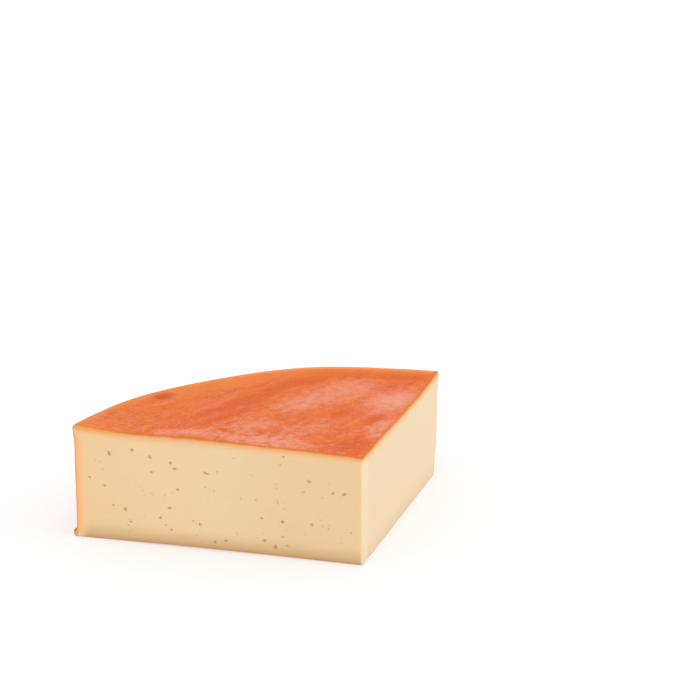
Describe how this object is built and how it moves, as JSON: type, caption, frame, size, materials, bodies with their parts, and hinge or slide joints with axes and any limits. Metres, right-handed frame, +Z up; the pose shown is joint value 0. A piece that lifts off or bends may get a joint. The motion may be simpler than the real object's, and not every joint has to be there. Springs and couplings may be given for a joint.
{
  "type": "fontina cheese",
  "caption": "Wedge cut from a wheel of semi-hard cheese: orange rind on the top, base and round heel, pale paste with small eyes on the flat cuts.",
  "frame": {"origin": "middle of the flat base, halfway between the point where the two cuts meet and the heel's middle", "axes": "+Z up; +Y from the point of the wedge towards the round heel; +X to the right, along the chord of the heel"},
  "size_m": [0.2986, 0.2088, 0.0828],
  "materials": {
    "cheese": "smooth pale yellow paste on the two cuts, orange washed rind on the top, heel and base"
  },
  "bodies": {
    "root": {"cheese_wedge": "cheese"}
  },
  "joints": []
}
